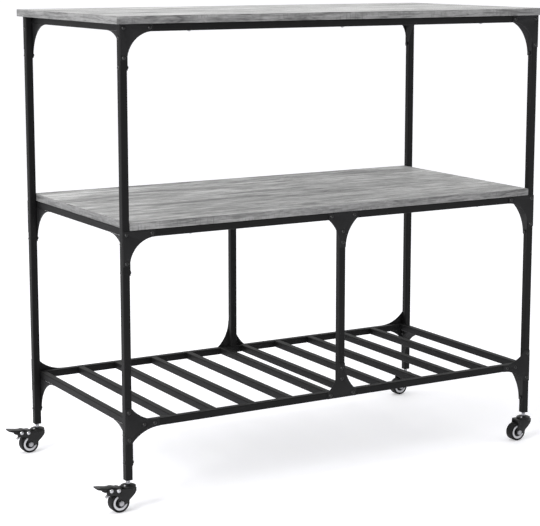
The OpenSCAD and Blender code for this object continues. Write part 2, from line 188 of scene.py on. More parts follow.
for name, (place, size, watts) in LIGHTS.items():
    bpy.ops.object.light_add(type="AREA", location=place)
    light = bpy.context.object
    light.name = name
    light.data.shape = "RECTANGLE"
    light.data.size, light.data.size_y = size
    light.data.energy = watts
    aim = LIT_POINT - Vector(place)
    light.rotation_euler = aim.to_track_quat("-Z", "Y").to_euler()

# %% [markdown]
# ## Node helpers
#
# Every material is a small network of nodes. It could be drawn by hand in the shader editor;
# in code, a few helpers keep the cells short. One adds a node and feeds its sockets, one makes
# a node group with named inputs and outputs, and the others add the kinds of node that are
# needed most. A value that is another node's socket is linked, and any other value is set.

# %% Helpers: nodes and groups
def feed(tree, socket, value):
    """Links another node's socket to this one, or sets a plain value on it."""
    if isinstance(value, bpy.types.NodeSocket):
        tree.links.new(value, socket)
    else:
        socket.default_value = value


def put(tree, kind, at, sockets=None, **settings):
    """Adds one node to a tree, sets it up, and feeds its sockets."""
    added = tree.nodes.new(kind)
    added.location = at
    for key, value in settings.items():
        setattr(added, key, value)
    for key, value in (sockets or {}).items():
        feed(tree, added.inputs[key], value)
    return added


def new_group(name, inputs, outputs):
    """An empty node group; inputs are name: (type, value), outputs are name: type."""
    tree = bpy.data.node_groups.new(name, "ShaderNodeTree")
    for key, (kind, value) in inputs.items():
        socket = tree.interface.new_socket(
            key, in_out="INPUT", socket_type=f"NodeSocket{kind}")
        socket.default_value = value
    for key, kind in outputs.items():
        tree.interface.new_socket(key, in_out="OUTPUT", socket_type=f"NodeSocket{kind}")
    return tree, put(tree, "NodeGroupInput", (-900, 0)), put(tree, "NodeGroupOutput", (900, 0))


print("node and group helpers ready")


# %% Helpers: arithmetic, noise and colour
# A Mix node has sockets for every kind of value. These are its two colours and their mixture.
COLOUR_A, COLOUR_B, MIXTURE = 6, 7, 2


def math_node(tree, operation, a, b, at):
    return put(tree, "ShaderNodeMath", at, {0: a, 1: b}, operation=operation).outputs[0]


def spread(tree, value, low, high, at, out=(0.0, 1.0)):
    """Maps low..high to out, held at the ends."""
    return put(tree, "ShaderNodeMapRange", at, {
        "Value": value, "From Min": low, "From Max": high, "To Min": out[0], "To Max": out[1],
    }, clamp=True).outputs["Result"]


def stretched_noise(tree, coords, at, scale, detail, twist, rough):
    """Noise on coordinates that are scaled first, so that it can run as streaks."""
    scaled = put(tree, "ShaderNodeMapping", at, {"Vector": coords, "Scale": scale})
    return put(tree, "ShaderNodeTexNoise", (at[0] + 200, at[1]), {
        "Vector": scaled.outputs[0], "Scale": 1.0, "Detail": detail, "Distortion": twist,
        "Roughness": rough,
    }).outputs["Fac"]


def mix_colour(tree, factor, a, b, at):
    return put(tree, "ShaderNodeMix", at, {"Factor": factor, COLOUR_A: a, COLOUR_B: b},
               data_type="RGBA").outputs[MIXTURE]


print("arithmetic, noise and colour helpers ready")

# %% [markdown]
# ## Surround
#
# An even white surround would leave bright metal looking flat, because metal shows what is
# around it. Black cards could be hung in the studio, but it is simpler to make the surround
# itself dimmer in front and near the ground, which gives the rivets a light and a dark side.
# What lies behind the cart stays white, because the camera sees plain white there.

# %% Surround that is dimmer in front
IN_FRONT, BEHIND = -0.9, 0.3
LEVEL, HIGH_UP = 0.0, 0.7
FRONT_LIGHT, LEVEL_LIGHT = 0.5, 0.7

sky = world.node_tree
toward = put(sky, "ShaderNodeTexCoord", (-900, 0)).outputs["Generated"]
axes = put(sky, "ShaderNodeSeparateXYZ", (-700, 0), {"Vector": toward})
from_side = spread(sky, axes.outputs["Y"], IN_FRONT, BEHIND, (-500, 100), (FRONT_LIGHT, 1.0))
from_above = spread(sky, axes.outputs["Z"], LEVEL, HIGH_UP, (-500, -150), (LEVEL_LIGHT, 1.0))
glow = math_node(sky, "MULTIPLY", from_side, from_above, (-300, 0))
seen = put(sky, "ShaderNodeLightPath", (-500, 350)).outputs["Is Camera Ray"]
sky_colour = mix_colour(sky, seen, glow, (1, 1, 1, 1), (-150, 100))
sky.links.new(sky_colour, surround.inputs["Color"])
print("surround has", len(sky.nodes), "nodes")

# %% [markdown]
# ## Grey oak decor
#
# The boards are faced with a printed decor of weathered grey oak. Seen close, such a decor has
# seven things on top of each other: broad bands that drift from light to dark, long wandering
# streaks, grain, a slight mottle, thin dark grain lines, fine fibre with short dark pores, and
# faint saw marks across the grain. A picture of wood would need an image file and would repeat,
# so all seven are noise, most of it stretched along the board. They are worked out in one node
# group, because the board's face and its edge bands share them.

# %% Oak: the layers of noise
OAK_NOISE = {
    # layer: (cycles a metre along, across and through the board), detail, twist, roughness
    "bands": ((1.5, 13, 13), 2.0, 0.6, 0.55),
    "streaks": ((4.5, 32, 32), 5.0, 1.0, 0.62),
    "grain": ((14, 130, 130), 4.0, 0.5, 0.62),
    "mottle": ((75, 230, 230), 3.0, 0.6, 0.6),
    "fibre": ((60, 1500, 1500), 2.0, 0.0, 0.55),
    "saw": ((330, 16, 30), 1.0, 0.2, 0.55),
    "patch": ((8, 24, 60), 1.0, 0.0, 0.55),
}
ROW = 250  # the space that a layer takes in the node editor


def oak_layers(tree, where):
    """All layers of noise, one row each, from the top of the editor down."""
    return {layer: stretched_noise(tree, where, (-700, 2 * ROW - i * ROW), *settings)
            for i, (layer, settings) in enumerate(OAK_NOISE.items())}


print("oak has", len(OAK_NOISE), "layers of noise")

# %% [markdown]
# ## How light the wood is
#
# Three layers are added up, each with its own weight, and the mottle comes on top by an amount
# that the material chooses. Noise mostly stays near one half, so each layer is spread out
# before it is used. The sum then picks a colour between the dark and the light wood.

# %% Oak: tone
NOISE_LOW, NOISE_HIGH = 0.36, 0.64
TONE_WEIGHTS = {"bands": 0.3, "streaks": 0.42, "grain": 0.28}
DARKEST, LIGHTEST = 0.2, 0.84


def oak_tone(tree, noise, src):
    """The wood's colour before its lines, pores and saw marks."""
    total = None
    for i, (layer, weight) in enumerate(TONE_WEIGHTS.items()):
        part = spread(tree, noise[layer], NOISE_LOW, NOISE_HIGH, (-250, 2 * ROW - i * ROW),
                      (0.0, weight))
        if total is None:
            total = part
        else:
            total = math_node(tree, "ADD", total, part, (160 * i - 80, 400))
    mottle = spread(tree, noise["mottle"], NOISE_LOW, NOISE_HIGH, (-250, -ROW))
    blotch = math_node(tree, "MULTIPLY", mottle, src.outputs["Mottle"], (-80, -ROW))
    total = math_node(tree, "ADD", total, blotch, (400, 400))
    toned = spread(tree, total, DARKEST, LIGHTEST, (540, 400))
    return mix_colour(tree, toned, src.outputs["Dark"], src.outputs["Light"], (540, 200))


print("tone weights add up to", round(sum(TONE_WEIGHTS.values()), 2))

# %% [markdown]
# ## Thin grain lines
#
# Where a noise crosses one half it draws a closed line, as a contour does on a map, and on
# stretched noise that line is long and thin like the grain of sawn oak. Three sizes of it are
# laid over the tone. The grain fades them in and out, because an unbroken line looks drawn.

# %% Oak: grain lines
LINE_DETAIL, LINE_TWIST, LINE_ROUGH = 2.0, 1.0, 0.45
GRAIN_LINES = [
    # cycles a metre, half the width of a line in the noise, how dark it gets
    ((1.3, 20, 20), 0.014, 0.75),
    ((3.6, 64, 64), 0.03, 0.7),
    ((11, 210, 210), 0.06, 0.6),
]
FADE_LOW, FADE_HIGH, FADED = 0.42, 0.58, 0.25


def grain_lines(tree, where, grain, body, line_colour):
    """Lays the thin dark lines over the body colour."""
    lined = body
    for i, (scale, width, strength) in enumerate(GRAIN_LINES):
        row = -1250 - ROW * i
        contours = stretched_noise(
            tree, where, (-700, row), scale, LINE_DETAIL, LINE_TWIST, LINE_ROUGH)
        from_half = math_node(tree, "SUBTRACT", contours, 0.5, (-380, row))
        off_line = math_node(tree, "ABSOLUTE", from_half, 0.0, (-250, row))
        line = spread(tree, off_line, 0.0, width, (-80, row), (strength, 0.0))
        faint = spread(tree, grain, FADE_LOW, FADE_HIGH, (80, row), (1.0, FADED))
        faded = math_node(tree, "MULTIPLY", line, faint, (240, row))
        lined = mix_colour(tree, faded, lined, line_colour, (400, row))
    return lined


print("grain lines in", len(GRAIN_LINES), "sizes")

# %% [markdown]
# ## Pores, saw marks and the whole group
#
# Pores are the deepest thing in oak, so they darken the colour and also dent the surface. Saw
# marks run across the board and come in patches, where the blade wandered. The group is put
# together here, and its inputs are what a material may choose: two tones, the colour of the
# lines, and how strong the saw marks and the mottle are.

# %% Oak: pores and saw marks
PORE_LOW, PORE_HIGH, PORE_DARK = 0.58, 0.7, 0.45
SAW_LOW, SAW_HIGH = 0.54, 0.66
PATCH_LOW, PATCH_HIGH = 0.46, 0.6


def saw_marks(tree, noise, amount):
    marks = math_node(
        tree, "MULTIPLY", spread(tree, noise["saw"], SAW_LOW, SAW_HIGH, (-250, -3 * ROW)),
        spread(tree, noise["patch"], PATCH_LOW, PATCH_HIGH, (-250, -4 * ROW)), (-80, -800))
    return math_node(tree, "MULTIPLY", marks, amount, (80, -800))


print("pores and saw marks ready")

# %% Node group: weathered oak
GRAIN_LOW, GRAIN_HIGH = 0.3, 0.7
DULL_WOOD, SMOOTH_WOOD = 0.62, 0.46
GRAIN_HEIGHT = 0.5  # against a pore's depth of 0.45


def oak_group():
    tree, src, out = new_group(
        "Weathered oak decor",
        {
            "Vector": ("Vector", (0, 0, 0)), "Light": ("Color", (0.62, 0.62, 0.62, 1)),
            "Dark": ("Color", (0.2, 0.2, 0.2, 1)), "Line": ("Color", (0.07, 0.07, 0.07, 1)),
            "Saw marks": ("Float", 0.3), "Mottle": ("Float", 0.2),
        },
        {"Color": "Color", "Roughness": "Float", "Height": "Float"},
    )
    where, dark = src.outputs["Vector"], src.outputs["Dark"]
    noise = oak_layers(tree, where)
    body = oak_tone(tree, noise, src)
    lined = grain_lines(tree, where, noise["grain"], body, src.outputs["Line"])
    pores = spread(tree, noise["fibre"], PORE_LOW, PORE_HIGH, (-250, -2 * ROW), (0.0, PORE_DARK))
    pored = mix_colour(tree, pores, lined, dark, (640, 100))
    sawn = saw_marks(tree, noise, src.outputs["Saw marks"])
    feed(tree, out.inputs["Color"], mix_colour(tree, sawn, pored, dark, (760, 0)))

    rough = spread(tree, noise["grain"], GRAIN_LOW, GRAIN_HIGH, (300, -200),
                   (DULL_WOOD, SMOOTH_WOOD))
    feed(tree, out.inputs["Roughness"], rough)
    dents = math_node(tree, "MULTIPLY", pores, -1.0, (300, -400))
    ridges = math_node(tree, "MULTIPLY", noise["grain"], GRAIN_HEIGHT, (300, -550))
    feed(tree, out.inputs["Height"], math_node(tree, "ADD", dents, ridges, (500, -450)))
    return tree


OAK = oak_group()
print(OAK.name, "has", len(OAK.nodes), "nodes")

# %% [markdown]
# ## Powder coat
#
# Powder coat is baked dust of plastic. It flows as it melts but never gets quite flat, so light
# on it breaks up into a fine orange peel, with a few dull rubbed patches. A single plain black
# would make the cart look like its own shadow. The group gives a mottled colour, a roughness
# and a height, and each coated part uses it with its own scale.

# %% Node group: coated surface
PEEL_DETAIL = 2.0
PEEL_GLOSS = 0.18  # how much the orange peel changes the roughness
RUBBED_NOISE = ((14, 14, 9), 4.0, 0.3, 0.6)  # scale, detail, twist, roughness
RUBBED_LOW, RUBBED_HIGH = 0.5, 0.74
RUBBED_MOST = 0.6  # how far a patch goes towards the worn colour
RUBBED_GLOSS = 0.1  # how much duller a patch is


def coat_group():
    tree, src, out = new_group(
        "Coated surface",
        {
            "Base": ("Color", (0.03, 0.03, 0.03, 1)), "Worn": ("Color", (0.06, 0.06, 0.06, 1)),
            "Grain size": ("Float", 900.0), "Roughness": ("Float", 0.5),
        },
        {"Color": "Color", "Roughness": "Float", "Height": "Float"},
    )
    place = put(tree, "ShaderNodeTexCoord", (-1100, -200)).outputs["Object"]
    peel = put(tree, "ShaderNodeTexNoise", (-500, 200), {
        "Vector": place, "Scale": src.outputs["Grain size"], "Detail": PEEL_DETAIL,
    }).outputs["Fac"]
    rubbed = stretched_noise(tree, place, (-700, -100), *RUBBED_NOISE)
    worn = spread(tree, rubbed, RUBBED_LOW, RUBBED_HIGH, (-250, -100), (0.0, RUBBED_MOST))
    colour = mix_colour(tree, worn, src.outputs["Base"], src.outputs["Worn"], (200, 200))
    feed(tree, out.inputs["Color"], colour)

    off_peel = math_node(tree, "SUBTRACT", peel, 0.5, (0, -200))
    dull = math_node(tree, "MULTIPLY", off_peel, PEEL_GLOSS, (160, -200))
    patch = math_node(tree, "MULTIPLY", worn, RUBBED_GLOSS, (160, -350))
    rough = math_node(tree, "ADD", src.outputs["Roughness"], dull, (320, -200))
    feed(tree, out.inputs["Roughness"], math_node(tree, "ADD", rough, patch, (480, -200)))
    feed(tree, out.inputs["Height"], peel)
    return tree


COAT = coat_group()
print(COAT.name, "has", len(COAT.nodes), "nodes")

# %% [markdown]
# ## A material around a group
#
# A group holds no shader, so that it can be used in many materials. Each material has its own
# Principled shader, which is fed with the group's colour and roughness, and its own Bump node,
# which turns the group's height into dents. What is the same all over, such as how metallic a
# surface is, is set on the shader itself.

# %% Helper: a material around one group
def grouped_material(name, group, values, bump, turn=0.0, shader_values=None):
    """A Principled material fed by a group's Color, Roughness and Height."""
    mat = bpy.data.materials.new(name)
    mat.use_nodes = True
    tree = mat.node_tree
    shader = tree.nodes["Principled BSDF"]
    pattern = put(tree, "ShaderNodeGroup", (-500, 0), values, node_tree=group)
    if "Vector" in pattern.inputs:
        coords = put(tree, "ShaderNodeTexCoord", (-1000, 0)).outputs["Object"]
        turned = put(tree, "ShaderNodeMapping", (-800, 0), {
            "Vector": coords, "Rotation": (0, 0, turn)})
        feed(tree, pattern.inputs["Vector"], turned.outputs[0])
    feed(tree, shader.inputs["Base Color"], pattern.outputs["Color"])
    feed(tree, shader.inputs["Roughness"], pattern.outputs["Roughness"])
    strength, depth = bump
    dent = put(tree, "ShaderNodeBump", (-250, -250), {
        "Strength": strength, "Distance": depth, "Height": pattern.outputs["Height"]})
    feed(tree, shader.inputs["Normal"], dent.outputs["Normal"])
    for key, value in (shader_values or {}).items():
        shader.inputs[key].default_value = value
    return mat


print("material helper ready")

# %% [markdown]
# ## Finishes
#
# Each finish on the cart is one material. The boards' edges are painted darker than their
# faces, as painted shade for edges that get less light than the tops, and the bands on the short
# sides are painted a little darker still, as painted shade against the key light from the left.
# Those bands have their grain turned to run along them. The tubes are the darkest black, the flat
# plates are a touch lighter because they catch more light, bolts are smoother, and the casters
# are enamelled. Bright parts are zinc plated, which is a slightly cloudy metal.

# %% Board finishes
OAK_BUMP = (0.25, 0.3 * MM)

oak_values = {
    "Light": (0.7, 0.7, 0.695, 1), "Dark": (0.19, 0.19, 0.19, 1),
    "Saw marks": 0.3, "Mottle": 0.12,
}
# Edge bands: the decor in darker tones, as painted shade for edges that get less light; their
# stronger saw marks and mottle are the band's own.
edge_values_painted_shade = {
    "Light": (0.28, 0.28, 0.277, 1), "Dark": (0.10, 0.10, 0.10, 1),
    "Line": (0.04, 0.04, 0.04, 1), "Saw marks": 0.7, "Mottle": 0.24,
}
# Short-side bands: painted a little darker still, as painted shade against the key light from the
# left.
side_values_painted_shade = {**edge_values_painted_shade, "Light": (0.24, 0.24, 0.238, 1)}
oak_face = grouped_material("oak_decor_face", OAK, oak_values, OAK_BUMP)
oak_edge_painted_shade = grouped_material("oak_decor_edge", OAK, edge_values_painted_shade, OAK_BUMP)
oak_edge_side_painted_shade = grouped_material(
    "oak_decor_edge_side", OAK, side_values_painted_shade, OAK_BUMP, math.radians(90))
print("board finishes", oak_face.name, oak_edge_painted_shade.name, oak_edge_side_painted_shade.name)

# %% Black and bright finishes
COOL = 1.04  # how much stronger the blue of a coat is
PEEL_HEIGHT = 0.2 * MM


def coated(name, grey, worn, grain, rough, bump=0.25, **shader_values):
    """A coat: its grey fresh and worn, how fine its grain is, how rough and how dented."""
    values = {"Base": (grey, grey, grey * COOL, 1), "Worn": (worn, worn, worn, 1),
              "Grain size": grain, "Roughness": rough}
    return grouped_material(
        name, COAT, values, (bump, PEEL_HEIGHT), shader_values=shader_values)


def shine(level):
    """How much a surface reflects, where it isn't the usual 0.5."""
    return {"Specular IOR Level": level}


# Greys are from 0, black, to 1, white, as light is measured and not as a screen shows it
DULL = shine(0.14)
METAL = {"Metallic": 1.0}
tube_black = coated("powder_coat_tube", 0.005, 0.009, 1400, 0.5, **DULL)
plate_black = coated("powder_coat_plate", 0.011, 0.018, 1400, 0.46, **DULL)
bolt_black = coated("bolt_black", 0.005, 0.014, 2400, 0.3, 0.1, **shine(0.46))
caster_black = coated("caster_enamel", 0.005, 0.010, 1800, 0.4, 0.12, **shine(0.28))
plug_black = coated("leg_plug_plastic", 0.006, 0.010, 1500, 0.6)
tread_black = coated("tread_rubber", 0.008, 0.018, 900, 0.62, 0.3, **DULL)
hub_black = coated("hub_plastic", 0.006, 0.010, 1600, 0.4, 0.1, **DULL)
rim_grey = coated("rim_plastic", 0.56, 0.46, 1300, 0.42, 0.08)
zinc = coated("zinc_plate", 0.55, 0.42, 2600, 0.3, 0.12, **METAL)
nut_zinc = coated("zinc_nut", 0.34, 0.26, 2200, 0.38, 0.15, **METAL)
print("finishes so far", len(bpy.data.materials))

# %% [markdown]
# ## Floor finish
#
# The floor is nearly white and matt. The lights fade with distance and would leave it grey far
# from the cart, so it gives off a little light of its own. That keeps it white to the horizon
# and still lets soft shadows show under the cart.

# %% Floor finish
floor_white = coated("studio_floor", 0.9, 0.89, 30, 0.75, 0.0,
                     **{"Emission Color": (1, 1, 1, 1), "Emission Strength": 0.3})
floor.data.materials.append(floor_white)
print("floor is", floor_white.name)

# %% [markdown]
# ## Modelling helpers
#
# An operator acts on whatever is selected, so each piece starts by deselecting everything. In
# edit mode points are then picked by a test on their place, which does in code what a box
# select does by hand. A finished piece has its place in its mesh, so its object goes back to
# the origin before it is given to a body.

# %% Selecting by place
def deselect():
    if bpy.context.mode != "OBJECT":
        bpy.ops.object.mode_set(mode="OBJECT")
    bpy.ops.object.select_all(action="DESELECT")


def edit_all(obj, kind="VERT"):
    """Enters edit mode with the whole mesh selected, as points or as edges."""
    bpy.context.view_layer.objects.active = obj
    bpy.ops.object.mode_set(mode="EDIT")
    bpy.ops.mesh.select_mode(type=kind)
    bpy.ops.mesh.select_all(action="SELECT")


def pick(obj, wanted):
    """Enters edit mode with only the points selected whose place passes a test."""
    edit_all(obj)
    bpy.ops.mesh.select_all(action="DESELECT")
    bpy.ops.object.mode_set(mode="OBJECT")
    for point in obj.data.vertices:
        point.select = wanted(point.co)
    bpy.ops.object.mode_set(mode="EDIT")


print("selection helpers ready")


# %% Finishing a piece and giving it to a body
def settle(obj, name, material, soft_angle=30):
    """Puts the place into the mesh, smooths the shading and sets the finish."""
    deselect()
    obj.select_set(True)
    bpy.context.view_layer.objects.active = obj
    bpy.ops.object.transform_apply(location=True, rotation=True, scale=True)
    bpy.ops.object.shade_smooth_by_angle(angle=math.radians(soft_angle))
    obj.name = obj.data.name = name
    obj.data.materials.clear()
    obj.data.materials.append(material)


def hand_over(obj, body, slot, *stands_for):
    """Says what a piece rides on and which CAD nodes it stands for; its slot is not used."""
    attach(obj, body)
    if stands_for:
        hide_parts(*stands_for)


def copy_at(obj, name, move):
    """A copy with its own mesh, moved in its mesh."""
    other = obj.copy()
    other.data = obj.data.copy()
    other.name = other.data.name = name
    other.data.transform(Matrix.Translation(move))
    bpy.context.scene.collection.objects.link(other)
    return other


print("finishing helpers ready")

# %% [markdown]
# ## Boards
#
# Such a board is chipboard faced with decor on both sides, with a thin band glued round its
# edges. The band's seam is the fine line just inside each edge, and its arris is slightly
# eased so that it does not cut. One block with two materials would look right from afar, but
# only a real seam catches the light. So the core is a block whose rims are bevelled, and four
# bands are cut to length: the long ones cover the ends of the short ones.

# %% A block with eased edges
def block(low, high):
    """A box between two corners, ready to shape."""
    deselect()
    low, high = Vector(low), Vector(high)
    bpy.ops.mesh.primitive_cube_add(size=1, location=(low + high) / 2)
    cube = bpy.context.object
    cube.scale = high - low
    bpy.ops.object.transform_apply(location=True, rotation=False, scale=True)
    return cube


def ease(obj, width, segments=2):
    """Bevels every edge of a piece."""
    edit_all(obj, "EDGE")
    bpy.ops.mesh.bevel(offset=width, segments=segments, affect="EDGES")
    bpy.ops.object.mode_set(mode="OBJECT")


print("block helpers ready")

# %% One board with its edge bands
BAND = 0.9 * MM  # how thick an edge band is
SEAM = 0.15 * MM  # how far the core's rims are bevelled beside the bands
ARRIS = 0.405 * MM  # how far a band's own edges are eased


def board(node, name):
    low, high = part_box(node)
    inset = Vector((BAND, BAND, 0))
    core = block(low + inset, high - inset)
    ease(core, SEAM, 1)
    settle(core, name, oak_face)
    hand_over(core, "frame", "oak_board", node)
    # The bands take the edge finishes, whose darker tones are painted shade.
    bands = {
        "front": (low, (high.x, low.y + BAND, high.z), oak_edge_painted_shade),
        "back": ((low.x, high.y - BAND, low.z), high, oak_edge_painted_shade),
        "left": ((low.x, low.y + BAND, low.z), (low.x + BAND, high.y - BAND, high.z),
                 oak_edge_side_painted_shade),
        "right": ((high.x - BAND, low.y + BAND, low.z), (high.x, high.y - BAND, high.z),
                  oak_edge_side_painted_shade),
    }
    for side, (start, end, material) in bands.items():
        band = block(start, end)
        ease(band, ARRIS)
        settle(band, f"{name}_band_{side}", material)
        hand_over(band, "frame", "oak_board")


board("top_board", "worktop")
board("shelf_board", "shelf")

# %% [markdown]
# ## Turned pieces
#
# Wheels, hubs, caps and stems are all shapes of rotation. By hand they are made on a lathe; in
# Blender a profile is drawn point by point and spun about an axis. The profile starts from a
# plane that is cut down to one point, and each next point is extruded from the last.

# %% Lathe: draw a profile and spin it
WELD = 0.01 * MM  # points closer than this become one
# Steps in a full turn, from the biggest pieces to the smallest
BIG, MIDDLE, SMALL, TINY = 64, 48, 32, 24


def lathe(profile, axis_point, axis, steps):
    """Spins a profile into a closed shape.

    The profile's points are in millimetres: distance from the axis, distance along it."""
    axis_point, axis = Vector(axis_point), Vector(axis)
    points = [axis_point + Vector((r * MM, 0, 0)) + axis * (h * MM) for r, h in profile]
    deselect()
    bpy.ops.mesh.primitive_plane_add(size=0.01, location=(0, 0, 0))
    piece = bpy.context.object
    pick(piece, lambda place: place.x < 0 or place.y < 0)
    bpy.ops.mesh.delete(type="VERT")
    bpy.ops.object.mode_set(mode="OBJECT")
    piece.data.vertices[0].co = points[0]
    edit_all(piece)
    for last, point in zip(points, points[1:]):
        bpy.ops.mesh.extrude_vertices_move(TRANSFORM_OT_translate={"value": point - last})
    bpy.ops.mesh.select_all(action="SELECT")
    bpy.ops.mesh.spin(steps=steps, angle=math.tau, center=axis_point, axis=axis)
    bpy.ops.mesh.select_all(action="SELECT")
    bpy.ops.mesh.remove_doubles(threshold=WELD)
    bpy.ops.mesh.normals_make_consistent(inside=False)
    bpy.ops.object.mode_set(mode="OBJECT")
    return piece


print("lathe ready")


# %% Helpers for profiles
def arc(centre_point, radius, start, end, count):
    """Points of an arc, in degrees, with both ends."""
    angles = [math.radians(start + (end - start) * i / count) for i in range(count + 1)]
    return [(centre_point[0] + radius * math.cos(a), centre_point[1] + radius * math.sin(a))
            for a in angles]


def both_sides(half):
    """Closes a profile whose lower half mirrors the upper half that is given."""
    mirrored = [(r, -h) for r, h in half]
    return mirrored + half[::-1] + mirrored[:1]


print("profile helpers ready")

# %% [markdown]
# ## Wheels
#
# Each wheel is a moulded grey core with a black tread bonded round it, and a black cover that
# hides the bearing. It could be one shape with three materials, but three separately turned
# pieces have a fine shadow line between them. They are made once, at the front left leg.

# %% Tread, ring and hub cover
first_wheel = WHEEL_AXIS[FRONT_LEFT]
ALONG_AXLE = (0, 1, 0)
SEAT_R, FLANK_R, TREAD_HALF, SHOULDER = 15.55, 17.6, 10, 2.4

tread_half = (
    [(SEAT_R, TREAD_HALF - 0.3), (SEAT_R + 0.25, TREAD_HALF)]
    + arc((FLANK_R, TREAD_HALF - SHOULDER), SHOULDER, 90, 0, 6)
)
tread = lathe(both_sides(tread_half), first_wheel, ALONG_AXLE, BIG)
settle(tread, "tread_front_left", tread_black)

ring_half = [(10.6, 8.9), (11.1, 9.45), (14.9, 9.5), (15.5, 9.1)]
ring = lathe(both_sides(ring_half), first_wheel, ALONG_AXLE, BIG)
settle(ring, "wheel_ring_front_left", rim_grey)

hub_half = [(3.1, 10.4), (4.9, 10.4), (5.3, 10.1), (5.4, 8.3), (7.2, 7.9), (8.2, 8.35),
            (9.9, 8.5), (10.5, 8.1)]
hub = lathe(both_sides(hub_half), first_wheel, ALONG_AXLE, MIDDLE)
settle(hub, "hub_cover_front_left", hub_black)
print("turned", tread.name, ring.name, hub.name)

# %% [markdown]
# ## Axle bolt and nut
#
# The axle is a bolt through the fork's two cheeks, with a hexagon head on one side and a nut on
# the other. The shank is turned like the wheels. The hexagons start as six-sided cylinders, and
# their edges are eased, because a sharp one shows no light along its rim.

# %% Axle, nut and head
HEX_R = 5.77 * MM  # from the middle to a corner
HEX_ARRIS = 0.35 * MM
CHEEK_OUT = 12.5 * MM  # from the wheel's middle to the outside of a cheek
NUT_HEIGHT, HEAD_HEIGHT = 3.0 * MM, 3.5 * MM


def hexagon(side, height, name):
    """A hexagon nut or head outside one cheek; side is -1 in front and 1 behind."""
    deselect()
    bpy.ops.mesh.primitive_cylinder_add(
        vertices=6, radius=HEX_R, depth=height,
        location=first_wheel + Vector((0, side * (CHEEK_OUT + height / 2), 0)),
        rotation=(math.radians(90), 0, 0))
    piece = bpy.context.object
    bpy.ops.object.transform_apply(location=True, rotation=True, scale=True)
    ease(piece, HEX_ARRIS)
    settle(piece, name, nut_zinc)
    return piece


shank_profile = [(0, -14.9), (2.4, -14.9), (3.0, -14.4), (3.0, 12.6), (0, 12.6)]
axle = lathe(shank_profile, first_wheel, ALONG_AXLE, SMALL)
settle(axle, "axle_bolt_front_left", nut_zinc)
nut = hexagon(-1, NUT_HEIGHT, "axle_nut_front_left")
head = hexagon(1, HEAD_HEIGHT, "axle_head_front_left")
print("made", axle.name, nut.name, head.name)

# %% [markdown]
# ## Four of each
#
# What repeats is modelled once and copied to the other legs. Each copy gets a mesh of its own,
# moved inside the mesh, so that its object stays at the origin like all others. The wheel's
# pieces turn with the wheel, and the bolt's pieces swivel with the fork.

# %% Copy pieces to the other legs
def on_every_leg(parts, axes):
    """Copies front left pieces to the other legs and hands all of them over.

    Each part is (piece, body, slot, the CAD node it stands for); {leg} becomes the leg's name."""
    for corner in CORNERS:
        shift = axes[corner] - axes[FRONT_LEFT]
        shift.z = 0
        for part, body, slot, node in parts:
            piece = part
            if corner != FRONT_LEFT:
                piece = copy_at(part, part.name.replace(FRONT_LEFT, corner), shift)
            stands_for = [node.format(leg=corner)] if node else []
            hand_over(piece, body.format(leg=corner), slot, *stands_for)


on_every_leg([
    (tread, "wheel_{leg}", "tread", "tyre_{leg}"),
    (ring, "wheel_{leg}", "rim_plastic", "rim_{leg}"),
    (hub, "wheel_{leg}", "insert_plastic", None),
    (axle, "caster_{leg}", "zinc", "axle_{leg}"),
    (nut, "caster_{leg}", "zinc", None),
    (head, "caster_{leg}", "zinc", None),
], WHEEL_AXIS)
print("wheels on", len(CORNERS), "legs")

# %% [markdown]
# ## Stems and bearing caps
#
# The stem is a zinc plated screw. Only a few turns of its thread show between the leg and the
# cap, but they are what makes the caster look screwed in and not glued on. The thread is
# turned as rings, which reads the same as a helix at this size. The cap is a pressed dome with
# one bright rivet near its rim.

# %% Threaded stem
first_leg = LEG_AXIS[FRONT_LEFT]
below_leg = Vector((first_leg.x, first_leg.y, 0))
UP = (0, 0, 1)
STEM_LOW, THREAD_LOW, STEM_HIGH = 43.3, 55.0, 84.0
PITCH, CREST, ROOT = 1.25, 4.0, 3.4
FLANGE_R, FLANGE_TOP, FLANGE_EDGE = 6.2, STEM_LOW + 2.3, 0.6

turns = int((STEM_HIGH - THREAD_LOW) / PITCH)
thread = []
for i in range(turns):
    z = THREAD_LOW + i * PITCH
    thread += [(ROOT, z), (CREST, z + PITCH * 0.4), (CREST, z + PITCH * 0.6)]
stem_profile = (
    [(0, STEM_LOW), (FLANGE_R - FLANGE_EDGE, STEM_LOW), (FLANGE_R, STEM_LOW + FLANGE_EDGE),
     (FLANGE_R, FLANGE_TOP), (CREST, FLANGE_TOP), (CREST, THREAD_LOW - 0.3)]
    + thread + [(ROOT, STEM_HIGH - 0.4), (0, STEM_HIGH - 0.4)]
)
stem = lathe(stem_profile, below_leg, UP, SMALL)
settle(stem, "stem_front_left", zinc, 50)
print("stem with", turns, "turns of thread")

# %% Bearing cap and its rivet
CAP_LOW, CAP_TOP, CAP_R, CAP_BORE = 48.4, 54.5, 15.5, 4.05
SKIRT_TOP, ROOF = 50.2, 51.2  # where the dome starts outside, and the underside of the roof
RACE_IN, RACE_OUT = 8, 12.2  # the groove that the balls run in
DOME_R, DOME_START, DOME_END = 33.5, 63.4, 83.0  # its arc in degrees
RIVET_PLACE = Vector((-9.6, -5.6, 52.2)) * MM

cap_profile = (
    [(RACE_OUT, CAP_LOW), (CAP_R - 0.3, CAP_LOW), (CAP_R, CAP_LOW + 0.3), (CAP_R, SKIRT_TOP),
     (CAP_R - 0.2, SKIRT_TOP + 0.4)]
    + arc((0, CAP_TOP - DOME_R), DOME_R, DOME_START, DOME_END, 8)
    + [(CAP_BORE, ROOF), (CAP_BORE, CAP_LOW), (RACE_IN, CAP_LOW), (RACE_IN, ROOF),
       (RACE_OUT, ROOF), (RACE_OUT, CAP_LOW)]
)
cap = lathe(cap_profile, below_leg, UP, BIG)
settle(cap, "bearing_cap_front_left", caster_black)

